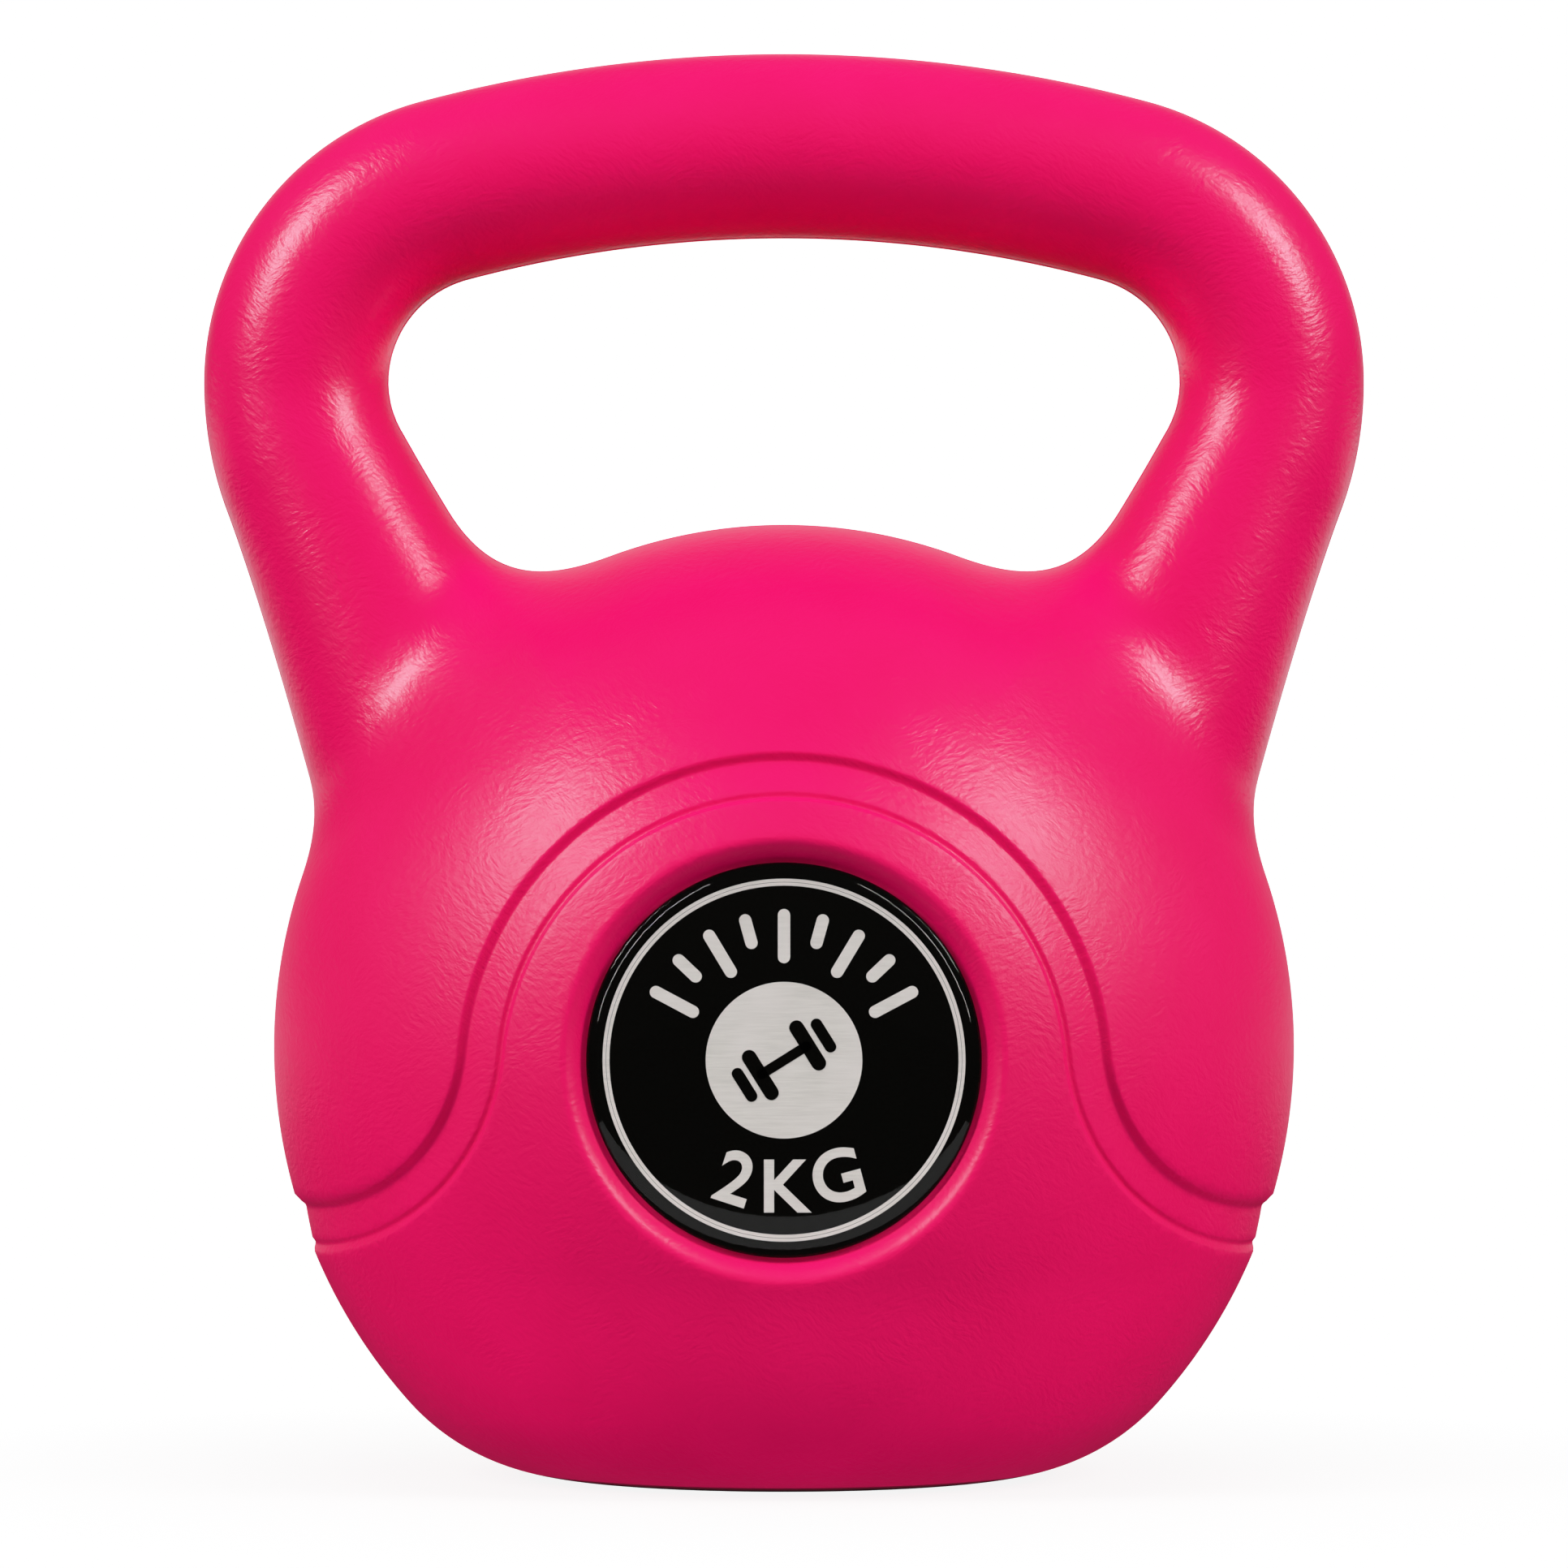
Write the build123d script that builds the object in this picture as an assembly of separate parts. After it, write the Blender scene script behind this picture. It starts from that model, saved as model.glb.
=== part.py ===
from build123d import *

import os
from math import asin, atan2, cos, degrees, pi, radians, sin, sqrt

# A 2 kg kettlebell: one hollow blow-moulded plastic shell, a cast filling, and a domed badge on each face.
# Millimetres. +Z is up, the front faces -Y, and the origin is the middle of the base on the ground.

# ball
BALL_RADIUS = 69.0
BALL_HALF_DEPTH = 62.0
BALL_CENTRE_Z = 57.8
BALL_HALF_HEIGHT = 70.6
BASE_EDGE_RADIUS = 26.0
BASE_TRIM = 0.05
WALL = 2.6

# handle
TOTAL_HEIGHT = 192.2
GRIP_RADIUS = 12.37
CORNER_X = 39.2
CORNER_Z = 147.8
CORNER_RADIUS = 26.9
SIDE_RADIUS = 30.3
LEG_LEAN = 24.55
LEG_LENGTH = 55.0
WIDENING = 0.2126
WIDENING_EASE = 48.5
DEEPENING = 0.6
DEEPENING_EASE = 54.0
JOIN_RADIUS = 13.0

# recessed band that loops over the badge and flares out to the sides
BAND_CENTRE_Z = 55.0
BAND_LOOP_RADIUS = 39.6
BAND_FLARE_RADIUS = 27.5
BAND_FLARE_ANGLE = 5.4
BAND_WIDTH = 5.3
BAND_DEPTH = 0.8

# badge pocket and badge
POCKET_RADIUS = 26.0
POCKET_MOUTH_RADIUS = 28.1
POCKET_FLOOR_Y = 54.0
POCKET_MOUTH_Y = 58.0
LIP_EDGE_RADIUS = 1.2
BADGE_RADIUS = 25.5
ADHESIVE_INSET = 0.5
ADHESIVE_THICKNESS = 0.4
FILM_THICKNESS = 0.25
DOME_EDGE = 0.6
DOME_HEIGHT = 1.7

# underside and filling hole
FOOT_RECESS_RADIUS = 22.0
FOOT_RECESS_DEPTH = 1.6
HOLE_RADIUS = 10.0
PLUG_FLANGE_RADIUS = 13.5
PLUG_FLANGE_THICKNESS = 1.2
PLUG_PLAY = 0.15
PLUG_LENGTH = 8.0
PLUG_WALL = 1.6
PLUG_BARB = 0.5

# filling
SHRINKAGE = 0.3
FILL_LEVEL = 95.0

FAR = 200.0


def ball(inset, floor_z, edge_radius):
    """The body of the bell, moved inwards by inset all round and cut flat at floor_z."""
    radius = BALL_RADIUS - inset
    rise = BALL_HALF_HEIGHT - inset
    drop = BALL_CENTRE_Z - floor_z
    foot_angle = -asin(drop / rise)
    foot = (radius * cos(foot_angle), floor_z)
    crown = (0, BALL_CENTRE_Z + rise)
    side = EllipticalCenterArc(
        (0, BALL_CENTRE_Z), radius, rise, degrees(foot_angle), arc_size=90 - degrees(foot_angle)
    )
    profile = make_face([Line((0, floor_z), foot), side, Line(crown, (0, floor_z))])
    if edge_radius:
        corner = profile.vertices().sort_by_distance((*foot, 0))[0]
        profile = fillet(corner, edge_radius)
    body = revolve(Plane.XZ * profile, axis=Axis.Z)
    return scale(body, by=(1, (BALL_HALF_DEPTH - inset) / radius, 1))


def handle_stations():
    """Centre, outward direction and run below the corner of each cross-section, left leg to right leg."""
    bow_drop = TOTAL_HEIGHT - GRIP_RADIUS - CORNER_Z
    bow_radius = (CORNER_X**2 + bow_drop**2 - CORNER_RADIUS**2) / (2 * (bow_drop - CORNER_RADIUS))
    bow_centre_z = TOTAL_HEIGHT - GRIP_RADIUS - bow_radius
    bow_half_angle = atan2(CORNER_X, CORNER_Z - bow_centre_z)
    side_x = CORNER_X + CORNER_RADIUS - SIDE_RADIUS
    lean = radians(LEG_LEAN)

    right = []
    bow_steps = 4
    for i in range(1, bow_steps + 1):
        angle = bow_half_angle * i / bow_steps
        centre = (bow_radius * sin(angle), bow_centre_z + bow_radius * cos(angle))
        right.append((centre, angle, 0.0))
    corner_steps = 6
    for i in range(1, corner_steps + 1):
        angle = bow_half_angle + (pi / 2 - bow_half_angle) * i / corner_steps
        centre = (CORNER_X + CORNER_RADIUS * sin(angle), CORNER_Z + CORNER_RADIUS * cos(angle))
        right.append((centre, angle, 0.0))
    side_steps = 2
    for i in range(1, side_steps + 1):
        turn = lean * i / side_steps
        centre = (side_x + SIDE_RADIUS * cos(turn), CORNER_Z - SIDE_RADIUS * sin(turn))
        right.append((centre, pi / 2 + turn, SIDE_RADIUS * turn))
    leg_start = right[-1][0]
    leg_steps = 9
    for i in range(1, leg_steps + 1):
        down = LEG_LENGTH * i / leg_steps
        centre = (leg_start[0] - down * sin(lean), leg_start[1] - down * cos(lean))
        right.append((centre, pi / 2 + lean, SIDE_RADIUS * lean + down))

    top = [((0.0, TOTAL_HEIGHT - GRIP_RADIUS), 0.0, 0.0)]
    left = [((-x, z), -angle, run) for (x, z), angle, run in reversed(right)]
    return left + top + right


def handle(inset):
    """The handle as one smooth bar: round over the grip, wider and deeper down each leg."""
    sections = []
    for (x, z), angle, run in handle_stations():
        along = (cos(angle), 0, -sin(angle))
        half_width = GRIP_RADIUS + WIDENING * run**2 / (run + WIDENING_EASE) - inset
        half_depth = GRIP_RADIUS + DEEPENING * run**2 / (run + DEEPENING_EASE) - inset
        station = Plane(origin=(x, 0, z), x_dir=(0, 1, 0), z_dir=along)
        sections.append(Wire.make_ellipse(half_depth, half_width, station))
    return Part() + Solid.make_loft(sections)


def facing(side):
    """Plane through the middle of the badge, its normal pointing out of the front (-1) or the back (1)."""
    return Plane(origin=(0, 0, BALL_CENTRE_Z), x_dir=(-side, 0, 0), z_dir=(0, side, 0))


def disc(side, radius, start, end):
    """A flat disc about the badge axis, from start to end out from the middle of the bell."""
    outline = facing(side).offset(start) * Circle(radius)
    return extrude(outline, end - start)


def pocket(side):
    """The space cut away for the badge: a flat floor and a wall that opens outwards."""
    floor = facing(side).offset(POCKET_FLOOR_Y) * Circle(POCKET_RADIUS)
    mouth = facing(side).offset(POCKET_MOUTH_Y) * Circle(POCKET_MOUTH_RADIUS)
    return loft([floor, mouth]) + disc(side, POCKET_MOUTH_RADIUS, POCKET_MOUTH_Y, FAR / 2)


def band_side(offset):
    """Half of one edge of the band, from above the badge out past the side of the ball."""
    flare = radians(BAND_FLARE_ANGLE)
    span = BAND_LOOP_RADIUS + BAND_FLARE_RADIUS
    flare_x = span * cos(flare)
    flare_z = BAND_CENTRE_Z + span * sin(flare)
    loop = BAND_LOOP_RADIUS + offset
    turn = BAND_FLARE_RADIUS - offset
    loop_arc = CenterArc((0, BAND_CENTRE_Z), loop, BAND_FLARE_ANGLE, 90 - BAND_FLARE_ANGLE)
    flare_arc = CenterArc((flare_x, flare_z), turn, 180 + BAND_FLARE_ANGLE, 90 - BAND_FLARE_ANGLE)
    run_out = Line((flare_x, flare_z - turn), (FAR / 2, flare_z - turn))
    return [loop_arc, flare_arc, run_out]


def band_groove():
    """The shallow band as a cutter: its outline run through the ball, less the ball's core."""
    half = BAND_WIDTH / 2
    upper = band_side(half)
    lower = band_side(-half)
    end = Line(upper[-1] @ 1, lower[-1] @ 1)
    start = Line(upper[0] @ 1, lower[0] @ 1)
    right = make_face(upper + lower + [end, start])
    outline = Plane.XZ * (right + mirror(right, about=Plane.YZ))
    return extrude(outline, FAR / 2, both=True) - ball(BAND_DEPTH, 0.0, 0.0)


def cavity(inset):
    """The inside of the shell, or anything that fills it, inset from the outer surface."""
    space = ball(inset, FOOT_RECESS_DEPTH + inset, 0.0) + handle(inset)
    for side in (-1, 1):
        space -= disc(side, POCKET_MOUTH_RADIUS + inset, POCKET_FLOOR_Y - inset, FAR / 2)
    return space


def shell():
    """The blow-moulded body: ball and handle in one hollow piece."""
    body = ball(0.0, -BASE_TRIM, BASE_EDGE_RADIUS) + handle(0.0)
    joins = [e for e in body.edges() if is_join(e)]
    body = fillet(joins, JOIN_RADIUS)
    body -= band_groove()
    for side in (-1, 1):
        body -= pocket(side)
    lips = [e for e in body.edges() if is_lip(e)]
    body = fillet(lips, LIP_EDGE_RADIUS)
    body -= Pos(0, 0, -FAR / 2) * Box(FAR, FAR, FAR)
    body -= Cylinder(FOOT_RECESS_RADIUS, 2 * FOOT_RECESS_DEPTH)
    body -= cavity(WALL)
    body -= Cylinder(HOLE_RADIUS, 6 * WALL)
    return body


def is_join(edge):
    """Whether an edge of the plain union is where a leg of the handle enters the ball."""
    box = edge.bounding_box()
    return box.min.Z > BALL_CENTRE_Z and box.max.Z < CORNER_Z and box.size.Y > GRIP_RADIUS


def is_lip(edge):
    """Whether an edge is the mouth of a badge pocket."""
    box = edge.bounding_box()
    return min(abs(box.min.Y), abs(box.max.Y)) > POCKET_FLOOR_Y + LIP_EDGE_RADIUS


def ballast():
    """Cement and sand, cast in through the base and level at the top."""
    filling = cavity(WALL + SHRINKAGE)
    filling -= Pos(0, 0, FILL_LEVEL + FAR / 2) * Box(FAR, FAR, FAR)
    plug_room = HOLE_RADIUS + PLUG_BARB + 2 * SHRINKAGE
    plug_top = FOOT_RECESS_DEPTH + PLUG_LENGTH + SHRINKAGE
    filling -= Cylinder(plug_room, 2 * plug_top)
    return filling


def base_plug():
    """Push-in cap of the filling hole: a flange, a hollow stem and a barb that grips inside the wall."""
    shoulder = FOOT_RECESS_DEPTH
    underside = shoulder - PLUG_FLANGE_THICKNESS
    top = shoulder + PLUG_LENGTH
    stem = HOLE_RADIUS - PLUG_PLAY
    barb_z = shoulder + WALL + PLUG_PLAY
    barb = HOLE_RADIUS + PLUG_BARB
    bore = stem - PLUG_WALL
    outline = Polyline(
        (0, underside),
        (PLUG_FLANGE_RADIUS, underside),
        (PLUG_FLANGE_RADIUS, shoulder),
        (stem, shoulder),
        (stem, barb_z),
        (barb, barb_z),
        (stem - PLUG_BARB, top),
        (bore, top),
        (bore, shoulder),
        (0, shoulder),
        close=True,
    )
    return revolve(Plane.XZ * make_face(outline), axis=Axis.Z)


def badge_adhesive(side):
    """Thin adhesive pad on the floor of the pocket."""
    return disc(side, BADGE_RADIUS - ADHESIVE_INSET, POCKET_FLOOR_Y, POCKET_FLOOR_Y + ADHESIVE_THICKNESS)


def badge_film(side):
    """The printed disc."""
    start = POCKET_FLOOR_Y + ADHESIVE_THICKNESS
    return disc(side, BADGE_RADIUS, start, start + FILM_THICKNESS)


def badge_dome(side):
    """Clear resin poured over the print: a short rim under a shallow cap."""
    start = POCKET_FLOOR_Y + ADHESIVE_THICKNESS + FILM_THICKNESS
    outline = [
        Line((0, 0), (BADGE_RADIUS, 0)),
        Line((BADGE_RADIUS, 0), (BADGE_RADIUS, DOME_EDGE)),
        dome_arc(),
        Line((0, DOME_HEIGHT), (0, 0)),
    ]
    cap = revolve(Plane.XZ * make_face(outline), axis=Axis.Z)
    return facing(side).offset(start) * cap


def dome_arc():
    """Circular arc from the rim of the dome to its middle."""
    rise = DOME_HEIGHT - DOME_EDGE
    radius = (BADGE_RADIUS**2 + rise**2) / (2 * rise)
    half_out = BADGE_RADIUS / 2
    half_up = DOME_HEIGHT - radius + sqrt(radius**2 - half_out**2)
    return ThreePointArc((BADGE_RADIUS, DOME_EDGE), (half_out, half_up), (0, DOME_HEIGHT))


def main():
    parts = {"shell": shell(), "ballast": ballast(), "base_plug": base_plug()}
    for name, side in (("front", -1), ("rear", 1)):
        parts[f"{name}_label_adhesive"] = badge_adhesive(side)
        parts[f"{name}_label_film"] = badge_film(side)
        parts[f"{name}_label_dome"] = badge_dome(side)
    os.makedirs("parts", exist_ok=True)
    for name, part in parts.items():
        export_step(part, f"parts/{name}.step")
        print(f"{name}: {part.volume / 1000:.1f} cm3")


main()
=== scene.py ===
"""Looks of a 2 kg kettlebell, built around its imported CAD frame. Metres, +Z up, the front faces -Y."""
import math

import bmesh
import bpy
import numpy as np
from mathutils import Matrix, Vector


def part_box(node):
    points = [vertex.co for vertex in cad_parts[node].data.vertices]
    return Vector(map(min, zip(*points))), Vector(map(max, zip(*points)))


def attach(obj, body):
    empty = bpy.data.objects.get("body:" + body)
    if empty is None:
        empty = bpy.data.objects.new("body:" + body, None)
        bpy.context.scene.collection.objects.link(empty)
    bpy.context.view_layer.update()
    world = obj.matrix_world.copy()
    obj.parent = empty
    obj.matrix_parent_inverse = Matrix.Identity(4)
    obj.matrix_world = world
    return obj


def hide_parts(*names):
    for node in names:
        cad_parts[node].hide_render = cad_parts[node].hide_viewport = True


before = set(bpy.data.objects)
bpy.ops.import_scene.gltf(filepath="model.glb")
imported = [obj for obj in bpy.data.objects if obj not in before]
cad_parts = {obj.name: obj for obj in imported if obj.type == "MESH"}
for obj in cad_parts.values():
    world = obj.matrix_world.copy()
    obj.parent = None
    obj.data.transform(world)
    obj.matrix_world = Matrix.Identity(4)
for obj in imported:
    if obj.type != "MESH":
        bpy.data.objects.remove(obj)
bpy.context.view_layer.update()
SHELL_LOW, SHELL_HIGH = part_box("shell")
FILM_LOW, FILM_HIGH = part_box("front_label_film")
DOME_LOW, DOME_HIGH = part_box("front_label_dome")

# ball: an ellipsoid standing on a flat foot
BALL = np.array((0.0690, 0.0620, 0.0706))
BALL_CENTRE = np.array((0.0, 0.0, 0.0578))
FOOT_ROUNDING = 0.030
RECESS_RADIUS = 0.022
RECESS_DEPTH = 0.0016

# handle: a bowed grip, two round corners and two legs that widen into the ball and deepen towards it
GRIP_RADIUS = 0.01237
GRIP_TOP = SHELL_HIGH.z - GRIP_RADIUS
CORNER_X = 0.0392
CORNER_Z = 0.1478
CORNER_RADIUS = 0.0269
SIDE_RADIUS = 0.0303
LEG_LEAN = math.radians(24.55)
LEG_LENGTH = 0.055
WIDENING = 0.2126
WIDENING_EASE = 0.0485
DEEPENING = 0.18
DEEPENING_EASE = 0.006
DEEPENING_END = 0.048
DEEPENING_FADE = 0.012
# the legs' last deepening, by the distance from an axis through the ball
FLARE_RISE = 0.0115
FLARE_CENTRE_Z = 0.076
FLARE_START = 0.0650
FLARE_LENGTH = 0.029
SQUARING = 0.35
SQUARING_RUN = 0.045
INNER_BLEND = 0.0155
OUTER_BLEND = 0.0045

# recessed band round the badge: a step down at its upper edge, a fine groove at its lower edge
BAND_CENTRE_Z = 0.0550
BAND_LOOP = 0.0396
BAND_FLARE = 0.0275
BAND_FLARE_ANGLE = math.radians(5.4)
BAND_HALF_WIDTH = 0.00265
BAND_UPPER_STEP = 0.0011
BAND_LOWER_STEP = 0.00035
BAND_GROOVE = 0.00055
BAND_GROOVE_HALF_WIDTH = 0.0008
BAND_EDGE = 0.0010
# towards the sides the band's edges soften
BAND_SIDE_SPREAD = 0.0012
BAND_SIDE_START = 0.045
BAND_SIDE_LENGTH = 0.022

# badge pocket
POCKET_RADIUS = 0.0261
POCKET_FLOOR = -FILM_HIGH.y - 0.0004
POCKET_SLOPE = 1.55
LIP_ROUNDING = 0.0022
POCKET_REACH = 0.0315
# where the mesh gets edges across the pocket's wall and lip
POCKET_EDGES = np.array((-3, 0, 1.5, 4, 7, 10, 13, 16, 19, 23, 28)) * 1e-4

# parting line of the mould
SEAM_HALF_WIDTH = 0.00035
SEAM_HEIGHT = 0.00012
SEAM_START_Z = 0.003
SEAM_START_LENGTH = 0.004

GRID_STEP = 0.0013

# prints of the badge
PRINT_LIFT = 0.00003
RINGS = ((0.02340, 0.02297), (0.02293, 0.02250))
DISC_RADIUS = 0.0101
TICKS = 9
TICK_SPACING_DEGREES = 15.5
LONG_TICK_START = 0.0133
SHORT_TICK_START = 0.0157
TICK_END = 0.0187
TICK_WIDTH = 0.0016
DUMBBELL_SLANT = math.radians(32)
LETTER_HEIGHT = 0.0069
LETTER_BOLDNESS = 0.028
# height of a capital in Blender's own font at size 1
CAPITAL_SHARE = 0.729
# character, distance from the middle of the badge, clock angle and tilt in degrees
LETTERS = (("2", 0.0162, 202.5, 18), ("K", 0.0160, 180, 0), ("G", 0.0162, 155, -15))

# studio
LIGHT_TARGET = Vector((0, 0, 0.095))
FLOOR_LIGHT_Z = 0.0005
BADGE_FRONT = 0.056
STRIP_FOOT = (0.58, 0.81, 0.15)
STRIP_HEAD = (0.24, 0.81, 0.60)
CAMERA_DISTANCE = 1.114
CAMERA_Z = 0.0934
CAMERA_LENS = 188.7
# brightness that the camera sees as white
PLAIN_WHITE = 1.4
WHITE = (1, 1, 1, 1)


# ---------------------------------------------------------------- shape of the shell

def bow():
    """Radius, centre height and half angle of the arc that the grip follows."""
    drop = GRIP_TOP - CORNER_Z
    radius = (CORNER_X**2 + drop**2 - CORNER_RADIUS**2) / (2 * (drop - CORNER_RADIUS))
    centre_z = GRIP_TOP - radius
    return radius, centre_z, math.atan2(CORNER_X, CORNER_Z - centre_z)


def foot_arc():
    """Centre (out, up) of the arc that rounds the ball into its flat foot, and the angle where it starts."""
    wide, _, tall = BALL
    low, high = -math.pi / 2, 0.0
    for _ in range(60):
        at = (low + high) / 2
        out, up = math.cos(at) / wide, math.sin(at) / tall
        size = math.hypot(out, up)
        out, up = out / size, up / size
        centre_z = BALL_CENTRE[2] + tall * math.sin(at) - FOOT_ROUNDING * up
        if centre_z < FOOT_ROUNDING:
            low = at
        else:
            high = at
    return wide * math.cos(at) - FOOT_ROUNDING * out, FOOT_ROUNDING, math.atan2(up, out)


BOW_RADIUS, BOW_CENTRE_Z, BOW_HALF_ANGLE = bow()
FOOT_OUT, FOOT_UP, FOOT_ANGLE = foot_arc()
SIDE_X = CORNER_X + CORNER_RADIUS - SIDE_RADIUS
LEG_X = SIDE_X + SIDE_RADIUS * math.cos(LEG_LEAN)
LEG_Z = CORNER_Z - SIDE_RADIUS * math.sin(LEG_LEAN)


def ease(t):
    """Smooth step from 0 to 1."""
    t = np.clip(t, 0, 1)
    return t * t * (3 - 2 * t)


def ellipse_distance(parts, radii, power=2.0):
    """Close to the distance from an ellipse or ellipsoid. Negative inside. A power over 2 squares it up."""
    scaled = [np.abs(part / radius) + 1e-9 for part, radius in zip(parts, radii)]
    reach = sum(s**power for s in scaled) ** (1 / power)
    slope = np.sqrt(sum((s ** (power - 1) / radius) ** 2 for s, radius in zip(scaled, radii)))
    return (reach - 1) * reach ** (power - 1) / slope


def ball_field(p):
    """Distance from the ball on its rounded foot. From above the ball is oval, and its foot goes round."""
    q = p - BALL_CENTRE
    aspect = BALL[1] / BALL[0]
    q[:, 1] *= aspect / (aspect + (1 - aspect) * ease(1 - p[:, 2] / FOOT_ROUNDING))
    ball = np.maximum(ellipse_distance(q.T, BALL), -p[:, 2])
    out = np.hypot(q[:, 0], q[:, 1] / aspect) - FOOT_OUT
    up = p[:, 2] - FOOT_UP
    rounded = (out > 0) & (np.arctan2(up, out) < FOOT_ANGLE)
    return np.where(rounded, np.hypot(out, up) - FOOT_ROUNDING, ball)


def handle_field(p):
    """Distance from the handle, and the place across its bar: 1 at the outer edge, -1 at the inner."""
    x, y, z = np.abs(p[:, 0]), p[:, 1], p[:, 2]
    lean_x, lean_z = math.sin(LEG_LEAN), math.cos(LEG_LEAN)
    down = (LEG_X - x) * lean_x + (LEG_Z - z) * lean_z
    on_leg = (x - LEG_X) * lean_z - (z - LEG_Z) * lean_x
    on_side = np.hypot(x - SIDE_X, z - CORNER_Z) - SIDE_RADIUS
    on_corner = np.hypot(x - CORNER_X, z - CORNER_Z) - CORNER_RADIUS
    on_bow = np.hypot(x, z - BOW_CENTRE_Z) - BOW_RADIUS
    bowed = np.arctan2(x, z - BOW_CENTRE_Z) < BOW_HALF_ANGLE
    sideways = SIDE_RADIUS * np.clip(np.arctan2(CORNER_Z - z, x - SIDE_X), 0, LEG_LEAN)
    across = np.select([down > 0, z < CORNER_Z, bowed], [on_leg, on_side, on_bow], on_corner)
    downwards = SIDE_RADIUS * LEG_LEAN + np.clip(down, 0, LEG_LENGTH)
    run = np.select([down > 0, z < CORNER_Z], [downwards, sideways], 0)
    width = GRIP_RADIUS + WIDENING * run**2 / (run + WIDENING_EASE)
    fade = np.clip(run - DEEPENING_END, 0, DEEPENING_FADE)
    deep = np.minimum(run, DEEPENING_END) + fade - fade**2 / (2 * DEEPENING_FADE)
    flare = ease((FLARE_START - np.hypot(x, z - FLARE_CENTRE_Z)) / FLARE_LENGTH)
    depth = GRIP_RADIUS + DEEPENING * deep**2 / (deep + DEEPENING_EASE) + FLARE_RISE * flare
    bar = ellipse_distance((across, y), (width, depth), 2 + SQUARING * ease(run / SQUARING_RUN))
    past_end = np.maximum(down - LEG_LENGTH, 0)
    return np.where(past_end > 0, np.hypot(np.maximum(bar, 0), past_end), bar), across / width


def blend(a, b, reach):
    """Smooth union of two shapes by their distances, rounded where those are within reach of each other."""
    near = np.maximum(reach - np.abs(a - b), 0) / reach
    return np.minimum(a, b) - near * near * reach / 4


def body_field(p):
    """Distance from the plain body: ball and handle, run together by a soft fillet."""
    handle, across = handle_field(p)
    inner = np.clip(0.5 - across / 2, 0, 1) ** 3
    reach = OUTER_BLEND + (INNER_BLEND - OUTER_BLEND) * inner
    return blend(ball_field(p), handle, reach)


def gradient(field, p, step=2e-5):
    """Central differences of a field at the points p."""
    sides = []
    for axis in np.eye(3) * step:
        sides.append((field(p + axis) - field(p - axis)) / (2 * step))
    return np.stack(sides, 1)


def settle(p, field, rounds=3):
    """Points p moved on to the zero surface of field, and its normals there."""
    for _ in range(rounds):
        slope = gradient(field, p)
        p = p - slope * (field(p) / np.maximum((slope**2).sum(1), 1e-9))[:, None]
    slope = gradient(field, p)
    return p, slope / np.linalg.norm(slope, axis=1)[:, None]


def surface_nets(field, low, high, step):
    """Quads round the zero surface of field: one vertex for each cell of a grid that the surface crosses."""
    axes = [np.arange(math.floor(a / step) - 1, math.ceil(b / step) + 2) * step for a, b in zip(low, high)]
    grid = np.stack(np.meshgrid(*axes, indexing="ij"), -1)
    inside = (field(grid.reshape(-1, 3)) < 0).reshape(grid.shape[:3])
    count = sum(
        inside[i : i + len(axes[0]) - 1, j : j + len(axes[1]) - 1, k : k + len(axes[2]) - 1].astype(int)
        for i in (0, 1) for j in (0, 1) for k in (0, 1)
    )
    crossed = (count > 0) & (count < 8)
    number = np.full(crossed.shape, -1)
    number[crossed] = np.arange(crossed.sum())
    points = grid[:-1, :-1, :-1][crossed] + step / 2
    quads = []
    for axis in range(3):
        change = np.argwhere(np.diff(inside.astype(int), axis=axis))
        one, two = np.eye(3, dtype=int)[[(axis + 1) % 3, (axis + 2) % 3]]
        ring = [number[tuple((change - shift).T)] for shift in (0 * one, one, one + two, two)]
        quad = np.stack(ring, 1)
        leaving = inside[tuple(change.T)]
        quad[~leaving] = quad[~leaving][:, ::-1]
        quads.append(quad)
    return points, np.concatenate(quads)


def relax(points, quads, field, rounds=8):
    """Evens out the mesh along the surface, keeping it on the surface."""
    pairs = np.concatenate([quads[:, [i, (i + 1) % 4]] for i in range(4)])
    pairs = np.concatenate([pairs, pairs[:, ::-1]])
    degree = np.bincount(pairs[:, 0], minlength=len(points))[:, None]
    for _ in range(rounds):
        total = np.zeros_like(points)
        np.add.at(total, pairs[:, 0], points[pairs[:, 1]])
        points = points + 0.6 * (total / degree - points)
        points, _ = settle(points, field, 1)
    return settle(points, field)[0]


# ---------------------------------------------------------------- features on the shell

def band_field(p):
    """Distance from the middle of the band, seen from the front. Positive above and outside it."""
    x, z = np.abs(p[:, 0]), p[:, 2]
    span = BAND_LOOP + BAND_FLARE
    flare_x = span * math.cos(BAND_FLARE_ANGLE)
    flare_z = BAND_CENTRE_Z + span * math.sin(BAND_FLARE_ANGLE)
    loop = np.hypot(x, z - BAND_CENTRE_Z) - BAND_LOOP
    flare = BAND_FLARE - np.hypot(x - flare_x, z - flare_z)
    run_out = z - (flare_z - BAND_FLARE)
    looped = np.arctan2(z - BAND_CENTRE_Z, x) > BAND_FLARE_ANGLE
    return np.where(looped, loop, np.where(x > flare_x, run_out, flare))


def pocket_radius(p):
    """Distance from the axis of the badges."""
    return np.hypot(p[:, 0], p[:, 2] - BALL_CENTRE[2])


def foot_radius(p):
    """Distance from the upright axis, on the underside only."""
    return np.where(p[:, 2] < RECESS_DEPTH, np.hypot(p[:, 0], p[:, 1]), 1.0)


def side_field(p):
    """Distance in front of or behind the parting plane."""
    return p[:, 1]


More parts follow.
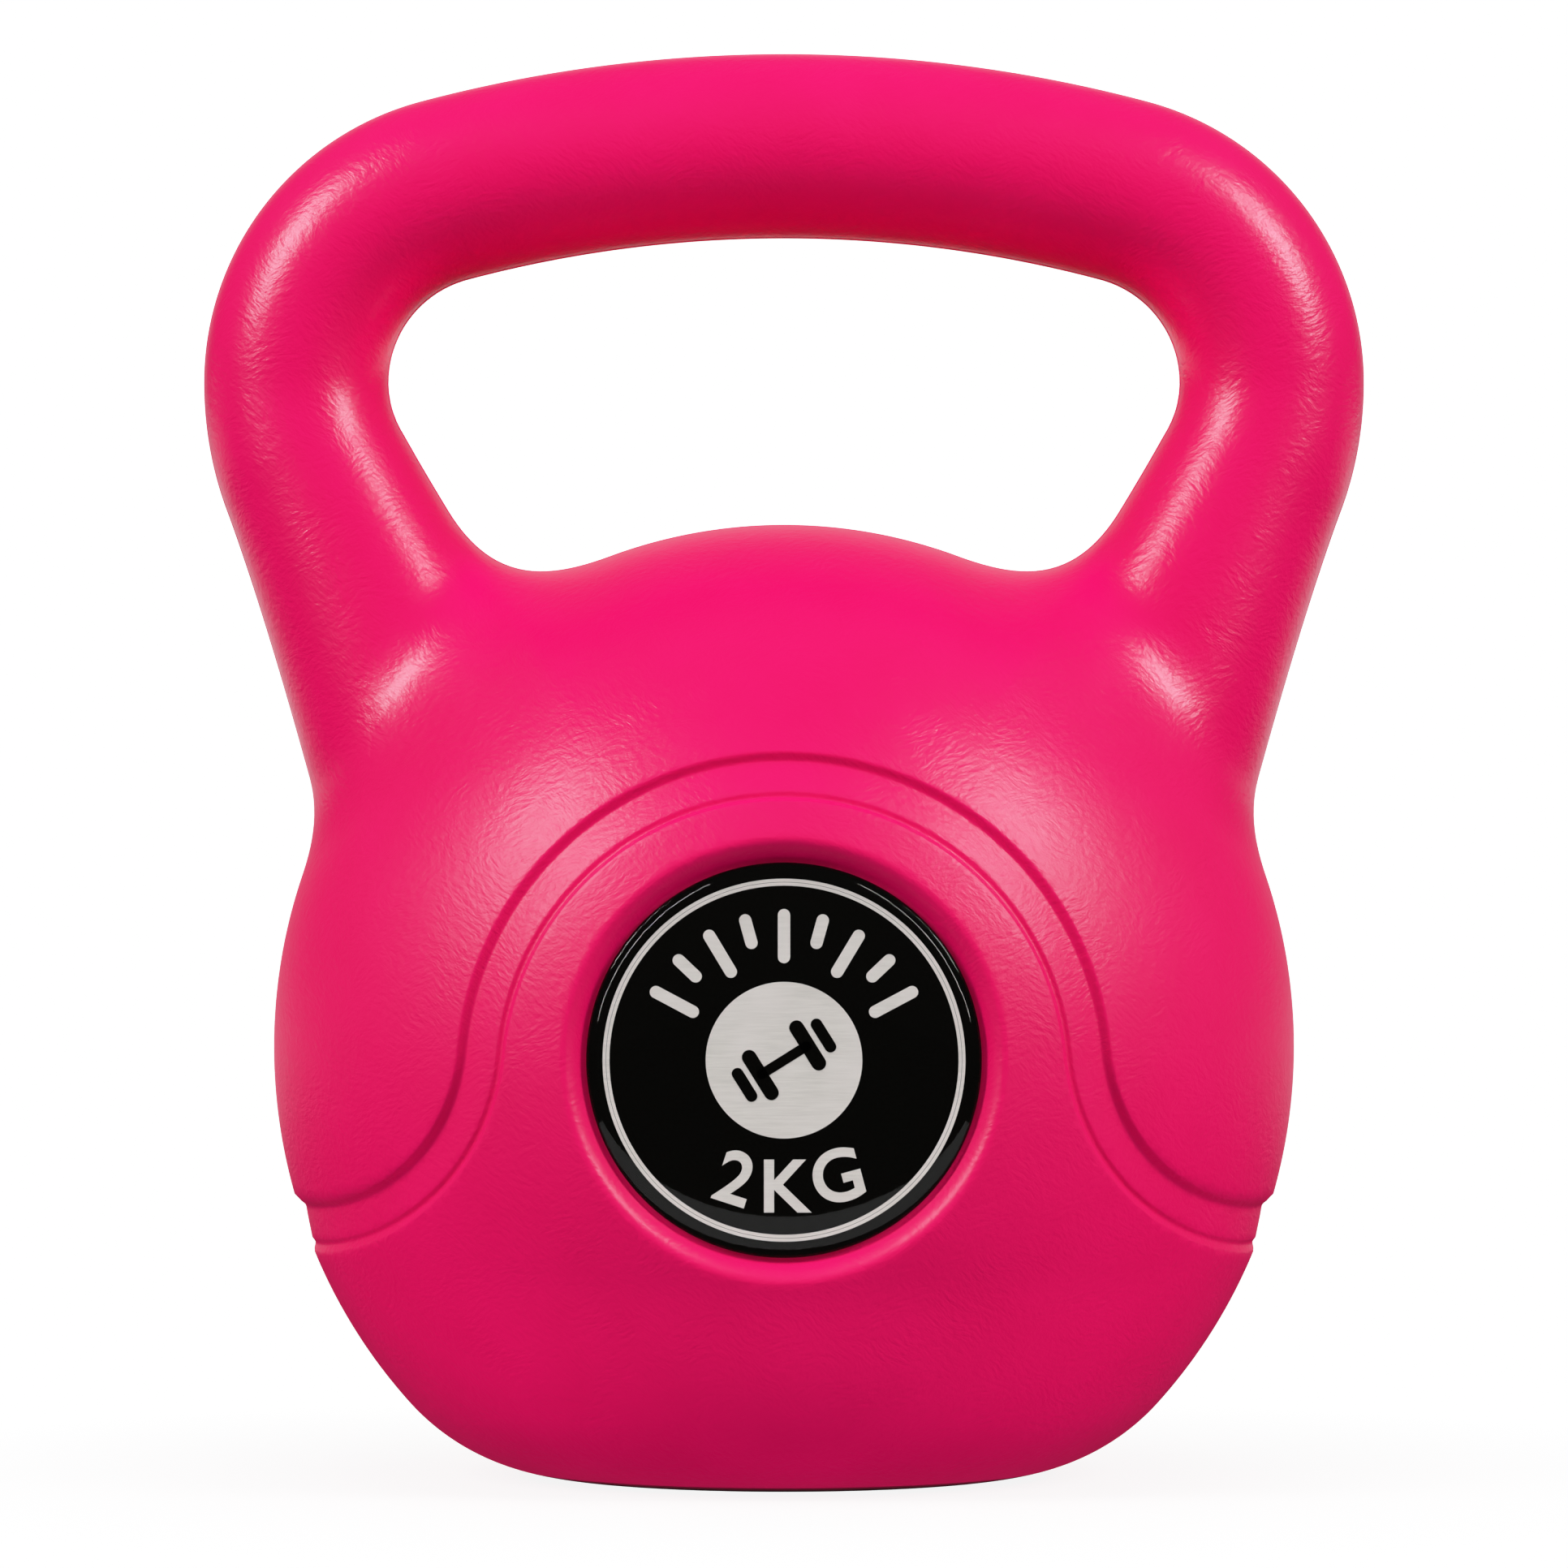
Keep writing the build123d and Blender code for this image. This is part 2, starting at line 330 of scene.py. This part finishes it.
def carve(p, normal):
    """The plain surface p with the band, parting line, badge pockets and foot recess worked in."""
    p = p.copy()
    t = band_field(p)
    spread = BAND_SIDE_SPREAD * ease((np.abs(p[:, 0]) - BAND_SIDE_START) / BAND_SIDE_LENGTH)
    outer = BAND_HALF_WIDTH + BAND_EDGE / 2
    upper = ease((outer + spread - t) / (BAND_EDGE + spread))
    lower = ease((outer + t) / (BAND_EDGE + spread))
    tilt = np.clip(0.5 + t / (2 * BAND_HALF_WIDTH), 0, 1)
    step = BAND_LOWER_STEP + (BAND_UPPER_STEP - BAND_LOWER_STEP) * tilt
    groove = ease(1 - np.abs(t + BAND_HALF_WIDTH) / (BAND_GROOVE_HALF_WIDTH + spread / 3))
    p -= normal * (step * upper * lower + BAND_GROOVE * groove)[:, None]

    seam = ease(1.5 - 1.5 * np.abs(p[:, 1]) / SEAM_HALF_WIDTH)
    seam *= ease((p[:, 2] - SEAM_START_Z) / SEAM_START_LENGTH)
    p += normal * (SEAM_HEIGHT * seam)[:, None]

    r = pocket_radius(p)
    wall = POCKET_FLOOR + (r - POCKET_RADIUS) * POCKET_SLOPE
    height = np.abs(p[:, 1])
    cut = blend(height, wall, LIP_ROUNDING)
    cut = -blend(-cut, np.full_like(cut, -POCKET_FLOOR), LIP_ROUNDING / 4)
    p[:, 1] = np.where(r < POCKET_REACH, np.sign(p[:, 1]) * cut, p[:, 1])

    under = foot_radius(p) < RECESS_RADIUS
    p[:, 2] = np.where(under & (normal[:, 2] < -0.9), RECESS_DEPTH, p[:, 2])
    return p


def cut_along(bm, field, levels):
    """Adds edges to the mesh along the lines where field equals each level."""
    verts = list(bm.verts)
    value = dict(zip(verts, field(np.array([v.co for v in verts])).tolist()))
    edges = []
    for edge in bm.edges:
        ends = sorted(value[v] for v in edge.verts)
        if ends[0] < max(levels) and ends[1] > min(levels):
            edges.append(edge)
    for level in levels:
        added = []
        for edge in list(edges):
            start, end = edge.verts
            before, after = value[start] - level, value[end] - level
            if before * after < 0:
                rest, middle = bmesh.utils.edge_split(edge, start, before / (before - after))
                value[middle] = level
                edges.append(rest)
                added.append(middle)
        bmesh.ops.connect_verts(bm, verts=added)


def shell_mesh():
    """The outer surface of the shell as one closed mesh, with edges along its fine features."""
    low, high = (SHELL_LOW.x, -BALL[1], SHELL_LOW.z), (SHELL_HIGH.x, BALL[1], SHELL_HIGH.z)
    points, quads = surface_nets(body_field, low, high, GRID_STEP)
    points = relax(points, quads, body_field)
    mesh = bpy.data.meshes.new("shell_skin")
    mesh.from_pydata(points.tolist(), [], quads.tolist())
    bm = bmesh.new()
    bm.from_mesh(mesh)
    cut_along(bm, band_field, BAND_HALF_WIDTH + np.linspace(-0.5, 0.5, 7) * BAND_EDGE)
    cut_along(bm, band_field, -BAND_HALF_WIDTH + np.linspace(-1, 1, 9) * BAND_GROOVE_HALF_WIDTH)
    cut_along(bm, side_field, np.array((-1, -0.67, -0.33, 0.33, 0.67, 1)) * SEAM_HALF_WIDTH)
    cut_along(bm, pocket_radius, POCKET_RADIUS + POCKET_EDGES)
    cut_along(bm, foot_radius, (RECESS_RADIUS - 1e-5, RECESS_RADIUS + 1e-5))
    bm.to_mesh(mesh)
    bm.free()
    points = np.array([v.co for v in mesh.vertices])
    points, normal = settle(points, body_field)
    points = carve(points, normal)
    mesh.vertices.foreach_set("co", points.ravel())
    mesh.update()
    mesh.shade_smooth()
    return mesh


# ---------------------------------------------------------------- small pieces

def finished(bm, name):
    """The mesh of bm, its faces turned outwards."""
    bmesh.ops.recalc_face_normals(bm, faces=bm.faces)
    mesh = bpy.data.meshes.new(name)
    bm.to_mesh(mesh)
    bm.free()
    return mesh


def lathe(name, profile, side, segments=192):
    """A surface turned about the badge axis from points of (radius, distance from the parting plane)."""
    bm = bmesh.new()
    rings = []
    for radius, out in profile:
        if radius == 0:
            rings.append([bm.verts.new((0, side * out, BALL_CENTRE[2]))])
            continue
        ring = []
        for i in range(segments):
            turn = 2 * math.pi * i / segments
            at = (radius * math.cos(turn), side * out, BALL_CENTRE[2] + radius * math.sin(turn))
            ring.append(bm.verts.new(at))
        rings.append(ring)
    for one, two in zip(rings, rings[1:]):
        for i in range(segments):
            j = (i + 1) % segments
            corners = [one[i % len(one)], two[i % len(two)], two[j % len(two)], one[j % len(one)]]
            bm.faces.new(dict.fromkeys(corners))
    mesh = finished(bm, name)
    mesh.shade_smooth()
    return place(name, mesh)


def place(name, mesh):
    """A new object that rides the kettlebell."""
    obj = bpy.data.objects.new(name, mesh)
    bpy.context.scene.collection.objects.link(obj)
    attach(obj, "root")
    return obj


def dome(name, side):
    """Clear resin cap: nearly flat in the middle and rolled over at its rim."""
    base, rise = -DOME_HIGH.y, DOME_HIGH.y - DOME_LOW.y
    radius = (DOME_HIGH.x - DOME_LOW.x) / 2
    profile = [(0, base + rise)]
    for i in range(1, 49):
        slope = math.pi / 2 * i / 48
        share = math.sin(slope) ** 0.5
        profile.append((radius * share, base + rise * max(math.cos(slope), 0)))
    return lathe(name, profile, side)


def flat_prints(name, side, outlines, lift=PRINT_LIFT):
    """Flat shapes just in front of the film.

    An outline is (right, up) points from the middle of the badge, or two such loops for a ring.
    """
    bm = bmesh.new()
    out = -FILM_LOW.y + lift

    def corners(loop):
        return [bm.verts.new((-side * x, side * out, BALL_CENTRE[2] + z)) for x, z in loop]

    for outline in outlines:
        if len(outline) == 2:
            outer, inner = corners(outline[0]), corners(outline[1])
            for i in range(len(outer)):
                j = (i + 1) % len(outer)
                bm.faces.new((outer[i], outer[j], inner[j], inner[i]))
        else:
            bm.faces.new(corners(outline))
    return place(name, finished(bm, name))


def circle(radius, steps=160):
    """Points round a circle."""
    turns = [2 * math.pi * i / steps for i in range(steps)]
    return [(radius * math.cos(t), radius * math.sin(t)) for t in turns]


def bar(start, end, width):
    """Outline of a straight bar with round ends."""
    (x0, y0), (x1, y1) = start, end
    along = math.atan2(y1 - y0, x1 - x0)
    points = []
    for centre, first in (((x1, y1), -90), ((x0, y0), 90)):
        for i in range(13):
            turn = along + math.radians(first + 15 * i)
            points.append((centre[0] + width / 2 * math.cos(turn), centre[1] + width / 2 * math.sin(turn)))
    return points


def tipped(point):
    """The point turned with the dumbbell's slant."""
    x, z = point
    right, up = math.cos(DUMBBELL_SLANT), math.sin(DUMBBELL_SLANT)
    return x * right - z * up, x * up + z * right


def polar(radius, degrees_right_of_top):
    """A point on the badge by radius and clock angle."""
    turn = math.radians(90 - degrees_right_of_top)
    return radius * math.cos(turn), radius * math.sin(turn)


def glyph(name, side, character, radius, clock, tilt):
    """One bold character of the weight, centred at a clock position on the badge."""
    curve = bpy.data.curves.new(name, "FONT")
    curve.body = character
    curve.align_x = "CENTER"
    curve.size = LETTER_HEIGHT / CAPITAL_SHARE
    curve.offset = LETTER_HEIGHT * LETTER_BOLDNESS
    text = bpy.data.objects.new(name, curve)
    bpy.context.scene.collection.objects.link(text)
    bpy.context.view_layer.update()
    mesh = bpy.data.meshes.new_from_object(text.evaluated_get(bpy.context.evaluated_depsgraph_get()))
    bpy.data.objects.remove(text)
    x, z = polar(radius, clock)
    stand = Matrix.Rotation(math.radians(90), 4, "X")
    turn = Matrix.Rotation(math.radians(tilt), 4, "Y")
    down = Matrix.Translation((0, 0, -LETTER_HEIGHT / 2))
    at = Matrix.Translation((x, FILM_LOW.y - PRINT_LIFT, BALL_CENTRE[2] + z))
    about = Matrix.Rotation(math.radians(180), 4, "Z") if side > 0 else Matrix.Identity(4)
    mesh.transform(about @ at @ turn @ down @ stand)
    return place(name, mesh)


# ---------------------------------------------------------------- materials

class Nodes:
    """Short calls for building one material's node tree."""

    def __init__(self, owner):
        self.owner = owner
        owner.use_nodes = True
        self.tree = owner.node_tree
        self.tree.nodes.clear()

    def add(self, kind, outputs=0, props=None, **inputs):
        """A node with its properties and inputs set. Returns one of its outputs.

        An input goes by its name, with _ for a space, or by its place as i0, i1 and so on.
        """
        node = self.tree.nodes.new(kind)
        for key, value in (props or {}).items():
            setattr(node, key, value)
        for key, value in inputs.items():
            by_place = key[0] == "i" and key[1:].isdigit()
            socket = node.inputs[int(key[1:]) if by_place else key.replace("_", " ")]
            if isinstance(value, bpy.types.NodeSocket):
                self.tree.links.new(value, socket)
            else:
                socket.default_value = value
        return node.outputs[outputs]

    def math(self, operation, a, b=0.0, clamp=False):
        return self.add("ShaderNodeMath", props={"operation": operation, "use_clamp": clamp}, i0=a, i1=b)

    def vector(self, operation, **inputs):
        return self.add("ShaderNodeVectorMath", props={"operation": operation}, **inputs)

    def noise(self, where, scale, detail=2.0, roughness=0.5):
        return self.add("ShaderNodeTexNoise", Vector=where, Scale=scale, Detail=detail, Roughness=roughness)

    def place(self):
        return self.add("ShaderNodeTexCoord", outputs="Object")

    def stretched(self, where, scale):
        return self.add("ShaderNodeMapping", Vector=where, Scale=scale)

    def axis(self, where, name):
        return self.add("ShaderNodeSeparateXYZ", outputs=name, i0=where)

    def ramp(self, value, low, high, to_low, to_high):
        return self.add(
            "ShaderNodeMapRange", Value=value, From_Min=low, From_Max=high, To_Min=to_low, To_Max=to_high
        )

    def mix(self, share, a, b):
        return self.add("ShaderNodeMix", outputs=2, props={"data_type": "RGBA"}, i0=share, i6=a, i7=b)

    def bump(self, height, distance, strength=1.0, normal=None):
        more = {"Normal": normal} if normal else {}
        return self.add("ShaderNodeBump", Height=height, Distance=distance, Strength=strength, **more)

    def principled(self, **inputs):
        return self.add("ShaderNodeBsdfPrincipled", **inputs)

    def finish(self, shader, output="ShaderNodeOutputMaterial"):
        out = self.tree.nodes.new(output)
        self.tree.links.new(shader, out.inputs["Surface"])
        return self.owner


def shell_plastic():
    """Satin moulded plastic with a fine leather grain."""
    n = Nodes(bpy.data.materials.new("pink_plastic"))
    where = n.place()
    mottle = n.noise(where, 45.0, 3.0, 0.6)
    colour = n.mix(n.ramp(mottle, 0.3, 0.7, 0.0, 1.0), (0.775, 0.0026, 0.108, 1), (0.83, 0.0034, 0.121, 1))
    bend = n.add("ShaderNodeTexNoise", outputs="Color", Vector=where, Scale=170.0, Detail=1.0)
    swirl = n.vector("MULTIPLY_ADD", i0=bend, i1=(0.0024,) * 3, i2=where)
    strokes = []
    for slant in (25, -40):
        turned = n.add("ShaderNodeMapping", Vector=swirl, Rotation=(0, math.radians(slant), 0))
        strokes.append(n.noise(n.stretched(turned, (700.0, 700.0, 1700.0)), 1.0))
    patches = n.ramp(n.noise(where, 130.0, 1.0), 0.40, 0.60, 0.0, 1.0)
    pits = n.noise(where, 3600.0, 2.0, 0.6)
    height = n.math("ADD", n.mix(patches, strokes[0], strokes[1]), n.math("MULTIPLY", pits, 0.2))
    swell = n.bump(n.noise(where, 260.0, 2.0), 0.00008, 0.25)
    normal = n.bump(height, 0.00010, 1.0, swell)
    # the ball is duller than the handle
    satin = n.ramp(n.axis(where, "Z"), 0.080, 0.102, 0.42, 0.30)
    roughness = n.math("ADD", satin, n.ramp(n.noise(where, 700.0, 3.0), 0.3, 0.7, -0.015, 0.015))
    return n.finish(n.principled(Base_Color=colour, Roughness=roughness, Normal=normal, IOR=1.5))


def print_black():
    """Black printed film under the resin."""
    n = Nodes(bpy.data.materials.new("print_black"))
    speckle = n.noise(n.place(), 3000.0)
    share = n.ramp(speckle, 0.3, 0.7, 0.0, 1.0)
    colour = n.mix(share, (0.0016, 0.0015, 0.0012, 1), (0.0026, 0.0025, 0.0021, 1))
    normal = n.bump(speckle, 0.00001, 0.3)
    return n.finish(n.principled(Base_Color=colour, Roughness=0.6, Specular_IOR_Level=0.0, Normal=normal))


def print_silver():
    """Silver ink with a brushed look."""
    n = Nodes(bpy.data.materials.new("print_silver"))
    where = n.place()
    brushed = n.noise(n.stretched(where, (250.0, 250.0, 4200.0)), 1.0, 3.0, 0.6)
    cloud = n.noise(where, 130.0)
    light = n.mix(n.ramp(brushed, 0.25, 0.75, 0.0, 1.0), (0.66, 0.635, 0.61, 1), (0.78, 0.75, 0.725, 1))
    colour = n.mix(n.ramp(cloud, 0.35, 0.65, 0.0, 0.6), light, (0.80, 0.755, 0.745, 1))
    normal = n.bump(brushed, 0.00001, 0.25)
    return n.finish(n.principled(Base_Color=colour, Metallic=0.15, Roughness=0.38, Normal=normal))


def resin():
    """Clear glossy resin: what is behind it shows through, and its skin reflects."""
    n = Nodes(bpy.data.materials.new("clear_resin"))
    ripple = n.bump(n.noise(n.place(), 90.0, 1.0), 0.00001, 0.15)
    glint = n.add("ShaderNodeBsdfGlossy", Color=WHITE, Roughness=0.03, Normal=ripple)
    clear = n.add("ShaderNodeBsdfTransparent", Color=(0.985, 0.985, 0.98, 1))
    # the skin mirrors under half of what bare resin would, and nothing from inside
    outside = n.math("SUBTRACT", 0.45, n.add("ShaderNodeNewGeometry", outputs="Backfacing"), clamp=True)
    share = n.math("MULTIPLY", n.add("ShaderNodeFresnel", IOR=1.5, Normal=ripple), outside)
    return n.finish(n.add("ShaderNodeMixShader", i0=share, i1=clear, i2=glint))


def foam_adhesive():
    """Off-white foam tape."""
    n = Nodes(bpy.data.materials.new("foam_adhesive"))
    cells = n.add("ShaderNodeTexVoronoi", outputs="Distance", Vector=n.place(), Scale=3500.0)
    colour = n.mix(n.ramp(cells, 0.0, 0.6, 0.0, 1.0), (0.70, 0.69, 0.65, 1), (0.78, 0.77, 0.73, 1))
    return n.finish(n.principled(Base_Color=colour, Roughness=0.85, Normal=n.bump(cells, 0.00005, 0.5)))


def cement():
    """Set cement with sand in it."""
    n = Nodes(bpy.data.materials.new("cement_filling"))
    where = n.place()
    sand = n.add("ShaderNodeTexVoronoi", outputs="Distance", Vector=where, Scale=900.0)
    stain = n.noise(where, 60.0, 4.0, 0.6)
    colour = n.mix(n.ramp(stain, 0.3, 0.7, 0.0, 1.0), (0.22, 0.21, 0.195, 1), (0.36, 0.35, 0.33, 1))
    grit = n.math("ADD", sand, n.math("MULTIPLY", n.noise(where, 2500.0, 3.0), 0.5))
    return n.finish(n.principled(Base_Color=colour, Roughness=0.92, Normal=n.bump(grit, 0.0003, 0.6)))


def plug_plastic():
    """Black moulded cap."""
    n = Nodes(bpy.data.materials.new("plug_plastic"))
    where = n.place()
    skin = n.noise(where, 2600.0, 3.0, 0.6)
    share = n.ramp(n.noise(where, 200.0), 0.3, 0.7, 0.0, 1.0)
    colour = n.mix(share, (0.012, 0.012, 0.012, 1), (0.02, 0.02, 0.02, 1))
    roughness = n.ramp(skin, 0.3, 0.7, 0.42, 0.56)
    return n.finish(n.principled(Base_Color=colour, Roughness=roughness, Normal=n.bump(skin, 0.00003, 0.4)))


# ---------------------------------------------------------------- the object

def dress(obj, material):
    """Gives a piece its one material."""
    obj.data.materials.clear()
    obj.data.materials.append(material)


SILVER = print_silver()
BLACK = print_black()
RESIN = resin()

skin = place("shell_skin", shell_mesh())
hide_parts("shell")
dress(skin, shell_plastic())
dress(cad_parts["ballast"], cement())
dress(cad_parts["base_plug"], plug_plastic())
ADHESIVE = foam_adhesive()

for face, side in (("front", -1), ("rear", 1)):
    dress(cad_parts[f"{face}_label_adhesive"], ADHESIVE)
    dress(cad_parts[f"{face}_label_film"], BLACK)

    rings = [(circle(outer), circle(inner)) for outer, inner in RINGS]
    ticks = []
    for i in range(TICKS):
        clock = TICK_SPACING_DEGREES * (i - (TICKS - 1) / 2)
        start = LONG_TICK_START if i % 2 == 0 else SHORT_TICK_START
        ticks.append(bar(polar(start, clock), polar(TICK_END, clock), TICK_WIDTH))
    pictures = {f"{face}_ring": rings, f"{face}_disc": [circle(DISC_RADIUS, 128)], f"{face}_ticks": ticks}
    for name, outlines in pictures.items():
        dress(flat_prints(name, side, outlines), SILVER)

    strokes = [((-0.0034, 0), (0.0034, 0), 0.0013)]
    for x, tall, wide in ((0.0036, 0.0027, 0.0019), (0.0060, 0.0017, 0.0015)):
        strokes += [((x * hand, -tall), (x * hand, tall), wide) for hand in (-1, 1)]
    dumbbell = [bar(tipped(start), tipped(end), wide) for start, end, wide in strokes]
    dress(flat_prints(f"{face}_dumbbell", side, dumbbell, 2 * PRINT_LIFT), BLACK)

    for number, letter in enumerate(LETTERS):
        dress(glyph(f"{face}_weight_{number}", side, *letter), SILVER)

    lid = dome(f"{face}_dome", side)
    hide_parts(f"{face}_label_dome")
    dress(lid, RESIN)


# ---------------------------------------------------------------- stage, light and camera

def floor_material():
    """Pale matt floor that runs out into plain white for the camera.

    The object mirrors it as dim, and brighter only far behind. It throws hardly any light back: the lamp
    floor_bounce does that, because the object would also mirror light that comes off the floor.
    """
    n = Nodes(bpy.data.materials.new("pale_floor"))
    where = n.place()
    mottle = n.noise(where, 9.0, 3.0)
    colour = n.mix(n.ramp(mottle, 0.3, 0.7, 0.0, 1.0), (0.86, 0.86, 0.86, 1), (0.88, 0.88, 0.88, 1))
    matt = n.principled(Base_Color=colour, Roughness=0.8, Specular_IOR_Level=0.2)
    plain = n.add("ShaderNodeEmission", Color=WHITE, Strength=PLAIN_WHITE)
    away = n.vector("LENGTH", outputs="Value", i0=where)
    dim = n.add("ShaderNodeEmission", Color=WHITE, Strength=n.ramp(n.axis(where, "Y"), 0.25, 0.90, 0.03, 0.8))
    dark = n.principled(Base_Color=(0.05, 0.05, 0.05, 1), Roughness=0.9, Specular_IOR_Level=0.0)
    seen = n.add("ShaderNodeLightPath", outputs="Is Camera Ray")
    mirrored = n.add("ShaderNodeLightPath", outputs="Is Glossy Ray")
    share = n.math("MULTIPLY", n.ramp(away, 0.055, 0.14, 0.75, 1.0), seen)
    shown = n.add("ShaderNodeMixShader", i0=share, i1=matt, i2=plain)
    bounced = n.add("ShaderNodeMixShader", i0=mirrored, i1=dark, i2=dim)
    return n.finish(n.add("ShaderNodeMixShader", i0=seen, i1=bounced, i2=shown))


def area_light(name, width, height, power):
    """A rectangular area light, still to be placed."""
    light = bpy.data.lights.new(name, "AREA")
    light.shape = "RECTANGLE"
    light.size, light.size_y, light.energy = width, height, power
    obj = bpy.data.objects.new(name, light)
    bpy.context.scene.collection.objects.link(obj)
    return obj


def softbox(name, azimuth, elevation, distance, width, height, power):
    """A light aimed at the middle of the object. Azimuth 0 is in front, 90 to the right."""
    turn, lift = math.radians(azimuth), math.radians(elevation)
    away = Vector((math.sin(turn) * math.cos(lift), -math.cos(turn) * math.cos(lift), math.sin(lift)))
    obj = area_light(name, width, height, power)
    obj.location = LIGHT_TARGET + away * distance
    obj.rotation_euler = away.to_track_quat("Z", "Y").to_euler()
    return obj


def matt_only(light):
    """Keeps a light out of reflections. Left on, importance sampling would let it into them."""
    light.visible_glossy = False
    light.visible_camera = False
    light.data.cycles.use_multiple_importance_sampling = False


floor_mesh = bpy.data.meshes.new("floor")
floor_mesh.from_pydata([(-6, -6, 0), (6, -6, 0), (6, 6, 0), (-6, 6, 0)], [], [(0, 1, 2, 3)])
floor = bpy.data.objects.new("floor", floor_mesh)
bpy.context.scene.collection.objects.link(floor)
floor.data.materials.append(floor_material())

for name, azimuth in (("left_softbox", -60), ("right_softbox", 60)):
    softbox(name, azimuth, 33, 1.0, 0.30, 0.46, 6.4)
matt_only(softbox("overhead", 0, 75, 1.1, 0.8, 0.5, 3.0))
matt_only(softbox("floor_bounce", 0, -90, LIGHT_TARGET.z - FLOOR_LIGHT_Z, 0.42, 0.42, 0.32))
for azimuth, power in ((0, 3.8), (90, 3.8), (180, 6.5), (270, 3.8)):
    matt_only(softbox(f"fill_{azimuth}", azimuth, 35, 1.2, 1.6, 1.6, power))

# what only the domes mirror: a card on the floor and two slanting strips
lids = bpy.data.collections.new("lids")
for face, side in (("front", -1), ("rear", 1)):
    lids.objects.link(bpy.data.objects[f"{face}_dome"])
    card = area_light(f"{face}_card", 0.30, 0.12, 0.11)
    card.location = (0, side * 0.16, 0.001)
    card.rotation_euler = (math.radians(180), 0, 0)
    card.light_linking.receiver_collection = lids
    for hand in (-1, 1):
        low, high = [Vector((x * hand, y * side, z)) for x, y, z in (STRIP_FOOT, STRIP_HEAD)]
        strip = area_light(f"{face}_strip_{'right' if hand > 0 else 'left'}", 0.03, (high - low).length, 0.9)
        along = (high - low).normalized()
        middle = (high + low) / 2
        away = (middle - Vector((0, side * BADGE_FRONT, BALL_CENTRE[2]))).normalized()
        across = along.cross(away).normalized()
        facing = Matrix((across, along, across.cross(along))).transposed().to_4x4()
        strip.matrix_world = Matrix.Translation(middle) @ facing
        strip.light_linking.receiver_collection = lids

# soft light for matt surfaces, a dark room with a pale backdrop in reflections, plain white for the camera
world = bpy.data.worlds.new("studio")
bpy.context.scene.world = world
world.cycles.sampling_method = "NONE"
sky = Nodes(world)
toward = sky.add("ShaderNodeTexCoord", outputs="Generated")
room = sky.ramp(sky.axis(toward, "Z"), 0.0, 1.0, 0.04, 0.10)
backdrop = sky.ramp(sky.axis(toward, "Y"), 0.80, 1.0, 0.0, 0.45)
soft, mirror, plain = [
    sky.add("ShaderNodeBackground", Color=WHITE, Strength=strength)
    for strength in (0.12, sky.math("ADD", room, backdrop), PLAIN_WHITE)
]
mirrored = sky.add("ShaderNodeLightPath", outputs="Is Glossy Ray")
seen = sky.add("ShaderNodeLightPath", outputs="Is Camera Ray")
unseen = sky.add("ShaderNodeMixShader", i0=mirrored, i1=soft, i2=mirror)
sky.finish(sky.add("ShaderNodeMixShader", i0=seen, i1=unseen, i2=plain), "ShaderNodeOutputWorld")

camera = bpy.data.cameras.new("camera")
camera.lens = CAMERA_LENS
camera.sensor_width = 36.0
camera.clip_start, camera.clip_end = 0.02, 50.0
eye = bpy.data.objects.new("camera", camera)
eye.location = (0, -CAMERA_DISTANCE, CAMERA_Z)
eye.rotation_euler = (math.radians(90), 0, 0)
bpy.context.scene.collection.objects.link(eye)
bpy.context.scene.camera = eye

# a tone curve that eases the brightest pinks off before they clip
view = bpy.context.scene.view_settings
view.view_transform = "Standard"
view.use_curve_mapping = True
view.curve_mapping.extend = "EXTRAPOLATED"
shoulder = view.curve_mapping.curves[3]
shoulder.points[1].location = (1.0, 0.87)
shoulder.points.new(0.76, 0.76)
shoulder.points.new(0.40, 0.40)
view.curve_mapping.update()
